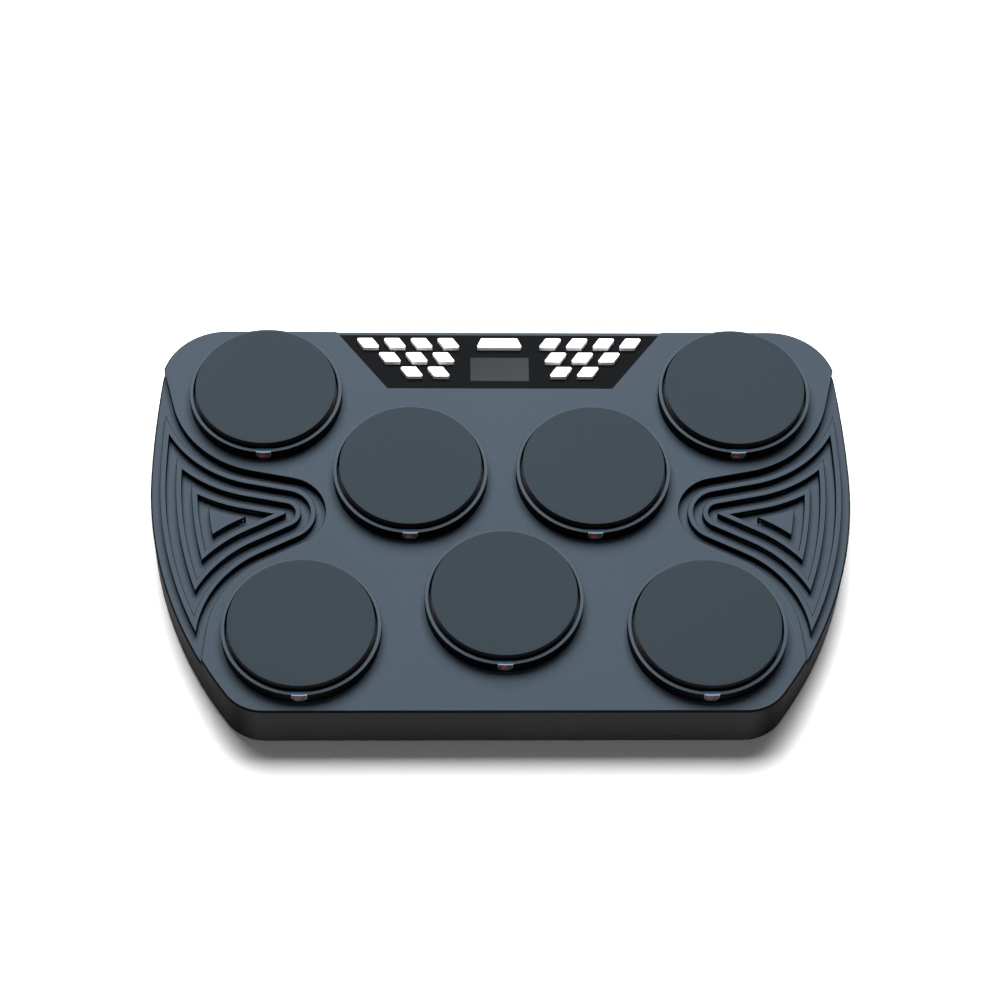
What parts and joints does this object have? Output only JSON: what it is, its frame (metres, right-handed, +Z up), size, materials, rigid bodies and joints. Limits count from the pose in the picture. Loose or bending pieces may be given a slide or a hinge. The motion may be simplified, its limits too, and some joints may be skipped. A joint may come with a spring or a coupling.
{
  "type": "electronic drum pad",
  "caption": "Tabletop electronic drum: wide flat housing with round sprung strike pads, a sunken control panel with buttons and display, and ribbed speaker grilles at both sides.",
  "frame": {"origin": "centre of the footprint, on the surface that the feet stand on", "axes": "+X to the player's right along the width, +Y to the rear edge with the control panel, +Z up"},
  "size_m": [0.441, 0.2852, 0.051],
  "materials": {
    "shell_slate": "fine satin texture",
    "collar_slate": "satin",
    "housing_black": "satin",
    "pad_rubber": "matte",
    "carrier_black": "matte",
    "lens_clear": "polished",
    "lamp_board": "matte",
    "foam_grey": "open foam",
    "sensor_brass": "satin",
    "panel_black": "satin",
    "display_smoke": "smoked, polished",
    "display_dark": "matte",
    "membrane_grey": "matte",
    "button_white": "satin",
    "circuit_green": "solder mask",
    "socket_black": "matte",
    "socket_steel": "satin",
    "speaker_basket": "satin black",
    "magnet_dark": "matte",
    "cone_paper": "pressed paper",
    "battery_wrap": "shrink sleeve",
    "foot_rubber": "matte",
    "screw_steel": "zinc plated"
  },
  "bodies": {
    "root": {"lower_housing": "housing_black", "top_shell": "shell_slate", "left_speaker_grille": "shell_slate", "right_speaker_grille": "shell_slate", "pad_collars": "collar_slate", "light_windows": "lens_clear", "light_boards": "lamp_board", "pad_foams": "foam_grey", "pad_sensors": "sensor_brass", "control_panel": "panel_black", "display_window": "display_smoke", "display_module": "display_dark", "button_membrane": "membrane_grey", "control_board": "circuit_green", "main_board": "circuit_green", "jack_board": "circuit_green", "audio_sockets": "socket_black", "usb_socket": "socket_steel", "speaker_gaskets": "foam_grey", "speaker_frames": "speaker_basket", "speaker_magnets": "magnet_dark", "speaker_cones": "cone_paper", "battery_pack": "battery_wrap", "rubber_feet": "foot_rubber", "case_screws": "screw_steel", "small_screws": "screw_steel", "rear_socket_plate": "housing_black"},
    "rear_left_pad": {"rear_left_pad_rubber": "pad_rubber", "rear_left_pad_carrier": "carrier_black"},
    "rear_right_pad": {"rear_right_pad_rubber": "pad_rubber", "rear_right_pad_carrier": "carrier_black"},
    "middle_left_pad": {"middle_left_pad_rubber": "pad_rubber", "middle_left_pad_carrier": "carrier_black"},
    "middle_right_pad": {"middle_right_pad_rubber": "pad_rubber", "middle_right_pad_carrier": "carrier_black"},
    "front_left_pad": {"front_left_pad_rubber": "pad_rubber", "front_left_pad_carrier": "carrier_black"},
    "front_centre_pad": {"front_centre_pad_rubber": "pad_rubber", "front_centre_pad_carrier": "carrier_black"},
    "front_right_pad": {"front_right_pad_rubber": "pad_rubber", "front_right_pad_carrier": "carrier_black"},
    "start_button": {"start_button": "button_white"},
    "left_button_1": {"left_button_1": "button_white"},
    "left_button_2": {"left_button_2": "button_white"},
    "left_button_3": {"left_button_3": "button_white"},
    "left_button_4": {"left_button_4": "button_white"},
    "left_button_5": {"left_button_5": "button_white"},
    "left_button_6": {"left_button_6": "button_white"},
    "left_button_7": {"left_button_7": "button_white"},
    "left_button_8": {"left_button_8": "button_white"},
    "left_button_9": {"left_button_9": "button_white"},
    "right_button_1": {"right_button_1": "button_white"},
    "right_button_2": {"right_button_2": "button_white"},
    "right_button_3": {"right_button_3": "button_white"},
    "right_button_4": {"right_button_4": "button_white"},
    "right_button_5": {"right_button_5": "button_white"},
    "right_button_6": {"right_button_6": "button_white"},
    "right_button_7": {"right_button_7": "button_white"},
    "right_button_8": {"right_button_8": "button_white"},
    "right_button_9": {"right_button_9": "button_white"}
  },
  "joints": [
    {"name": "rear_left_pad_press", "type": "slide", "parent": "root", "child": "rear_left_pad", "axis": [0, 0, -1], "range_m": [0, 0.0015], "stiffness_N_per_m": 6000, "springref_m": -0.0002, "deforming": ["pad_foams"]},
    {"name": "rear_right_pad_press", "type": "slide", "parent": "root", "child": "rear_right_pad", "axis": [0, 0, -1], "range_m": [0, 0.0015], "stiffness_N_per_m": 6000, "springref_m": -0.0002, "deforming": ["pad_foams"]},
    {"name": "middle_left_pad_press", "type": "slide", "parent": "root", "child": "middle_left_pad", "axis": [0, 0, -1], "range_m": [0, 0.0015], "stiffness_N_per_m": 6000, "springref_m": -0.0002, "deforming": ["pad_foams"]},
    {"name": "middle_right_pad_press", "type": "slide", "parent": "root", "child": "middle_right_pad", "axis": [0, 0, -1], "range_m": [0, 0.0015], "stiffness_N_per_m": 6000, "springref_m": -0.0002, "deforming": ["pad_foams"]},
    {"name": "front_left_pad_press", "type": "slide", "parent": "root", "child": "front_left_pad", "axis": [0, 0, -1], "range_m": [0, 0.0015], "stiffness_N_per_m": 6000, "springref_m": -0.0002, "deforming": ["pad_foams"]},
    {"name": "front_centre_pad_press", "type": "slide", "parent": "root", "child": "front_centre_pad", "axis": [0, 0, -1], "range_m": [0, 0.0015], "stiffness_N_per_m": 6000, "springref_m": -0.0002, "deforming": ["pad_foams"]},
    {"name": "front_right_pad_press", "type": "slide", "parent": "root", "child": "front_right_pad", "axis": [0, 0, -1], "range_m": [0, 0.0015], "stiffness_N_per_m": 6000, "springref_m": -0.0002, "deforming": ["pad_foams"]},
    {"name": "start_button_press", "type": "slide", "parent": "root", "child": "start_button", "axis": [0, 0, -1], "range_m": [0, 0.0012], "stiffness_N_per_m": 800, "springref_m": -0.0003, "deforming": ["button_membrane"]},
    {"name": "left_button_1_press", "type": "slide", "parent": "root", "child": "left_button_1", "axis": [0, 0, -1], "range_m": [0, 0.0012], "stiffness_N_per_m": 800, "springref_m": -0.0003, "deforming": ["button_membrane"]},
    {"name": "left_button_2_press", "type": "slide", "parent": "root", "child": "left_button_2", "axis": [0, 0, -1], "range_m": [0, 0.0012], "stiffness_N_per_m": 800, "springref_m": -0.0003, "deforming": ["button_membrane"]},
    {"name": "left_button_3_press", "type": "slide", "parent": "root", "child": "left_button_3", "axis": [0, 0, -1], "range_m": [0, 0.0012], "stiffness_N_per_m": 800, "springref_m": -0.0003, "deforming": ["button_membrane"]},
    {"name": "left_button_4_press", "type": "slide", "parent": "root", "child": "left_button_4", "axis": [0, 0, -1], "range_m": [0, 0.0012], "stiffness_N_per_m": 800, "springref_m": -0.0003, "deforming": ["button_membrane"]},
    {"name": "left_button_5_press", "type": "slide", "parent": "root", "child": "left_button_5", "axis": [0, 0, -1], "range_m": [0, 0.0012], "stiffness_N_per_m": 800, "springref_m": -0.0003, "deforming": ["button_membrane"]},
    {"name": "left_button_6_press", "type": "slide", "parent": "root", "child": "left_button_6", "axis": [0, 0, -1], "range_m": [0, 0.0012], "stiffness_N_per_m": 800, "springref_m": -0.0003, "deforming": ["button_membrane"]},
    {"name": "left_button_7_press", "type": "slide", "parent": "root", "child": "left_button_7", "axis": [0, 0, -1], "range_m": [0, 0.0012], "stiffness_N_per_m": 800, "springref_m": -0.0003, "deforming": ["button_membrane"]},
    {"name": "left_button_8_press", "type": "slide", "parent": "root", "child": "left_button_8", "axis": [0, 0, -1], "range_m": [0, 0.0012], "stiffness_N_per_m": 800, "springref_m": -0.0003, "deforming": ["button_membrane"]},
    {"name": "left_button_9_press", "type": "slide", "parent": "root", "child": "left_button_9", "axis": [0, 0, -1], "range_m": [0, 0.0012], "stiffness_N_per_m": 800, "springref_m": -0.0003, "deforming": ["button_membrane"]},
    {"name": "right_button_1_press", "type": "slide", "parent": "root", "child": "right_button_1", "axis": [0, 0, -1], "range_m": [0, 0.0012], "stiffness_N_per_m": 800, "springref_m": -0.0003, "deforming": ["button_membrane"]},
    {"name": "right_button_2_press", "type": "slide", "parent": "root", "child": "right_button_2", "axis": [0, 0, -1], "range_m": [0, 0.0012], "stiffness_N_per_m": 800, "springref_m": -0.0003, "deforming": ["button_membrane"]},
    {"name": "right_button_3_press", "type": "slide", "parent": "root", "child": "right_button_3", "axis": [0, 0, -1], "range_m": [0, 0.0012], "stiffness_N_per_m": 800, "springref_m": -0.0003, "deforming": ["button_membrane"]},
    {"name": "right_button_4_press", "type": "slide", "parent": "root", "child": "right_button_4", "axis": [0, 0, -1], "range_m": [0, 0.0012], "stiffness_N_per_m": 800, "springref_m": -0.0003, "deforming": ["button_membrane"]},
    {"name": "right_button_5_press", "type": "slide", "parent": "root", "child": "right_button_5", "axis": [0, 0, -1], "range_m": [0, 0.0012], "stiffness_N_per_m": 800, "springref_m": -0.0003, "deforming": ["button_membrane"]},
    {"name": "right_button_6_press", "type": "slide", "parent": "root", "child": "right_button_6", "axis": [0, 0, -1], "range_m": [0, 0.0012], "stiffness_N_per_m": 800, "springref_m": -0.0003, "deforming": ["button_membrane"]},
    {"name": "right_button_7_press", "type": "slide", "parent": "root", "child": "right_button_7", "axis": [0, 0, -1], "range_m": [0, 0.0012], "stiffness_N_per_m": 800, "springref_m": -0.0003, "deforming": ["button_membrane"]},
    {"name": "right_button_8_press", "type": "slide", "parent": "root", "child": "right_button_8", "axis": [0, 0, -1], "range_m": [0, 0.0012], "stiffness_N_per_m": 800, "springref_m": -0.0003, "deforming": ["button_membrane"]},
    {"name": "right_button_9_press", "type": "slide", "parent": "root", "child": "right_button_9", "axis": [0, 0, -1], "range_m": [0, 0.0012], "stiffness_N_per_m": 800, "springref_m": -0.0003, "deforming": ["button_membrane"]}
  ]
}
